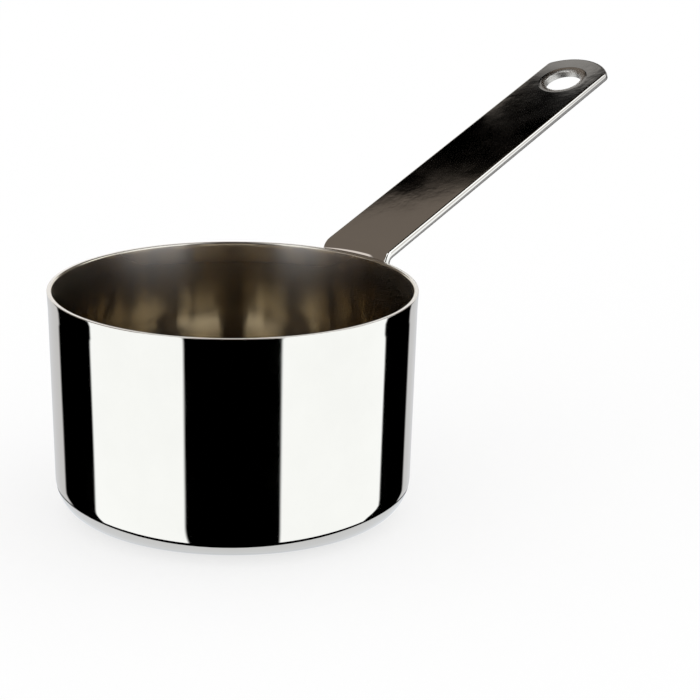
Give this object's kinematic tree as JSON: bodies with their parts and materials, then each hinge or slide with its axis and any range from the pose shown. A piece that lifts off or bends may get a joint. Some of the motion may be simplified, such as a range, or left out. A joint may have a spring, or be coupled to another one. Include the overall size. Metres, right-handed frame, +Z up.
{
  "type": "serving pan",
  "caption": "Small round steel serving pan: a straight-sided drawn cup with a rounded base edge and a flat, rising strip handle with a hanging hole, spot welded behind the lip.",
  "frame": {"origin": "centre of the flat base, on the surface that the pan stands on", "axes": "+Z up along the cup's axis, +X along the handle, away from the cup, +Y to the left of someone who looks along the handle from the cup"},
  "size_m": [0.1828, 0.09, 0.0911],
  "materials": {
    "polished_steel": "mirror-polished stainless steel",
    "buffed_steel": "buffed bright stainless steel with fine scratches",
    "weld_steel": "dull fused steel"
  },
  "bodies": {
    "root": {"pan_body": "polished_steel", "handle": "buffed_steel", "spot_weld_lower_right": "weld_steel", "spot_weld_lower_left": "weld_steel", "spot_weld_upper_right": "weld_steel", "spot_weld_upper_left": "weld_steel"}
  },
  "joints": []
}
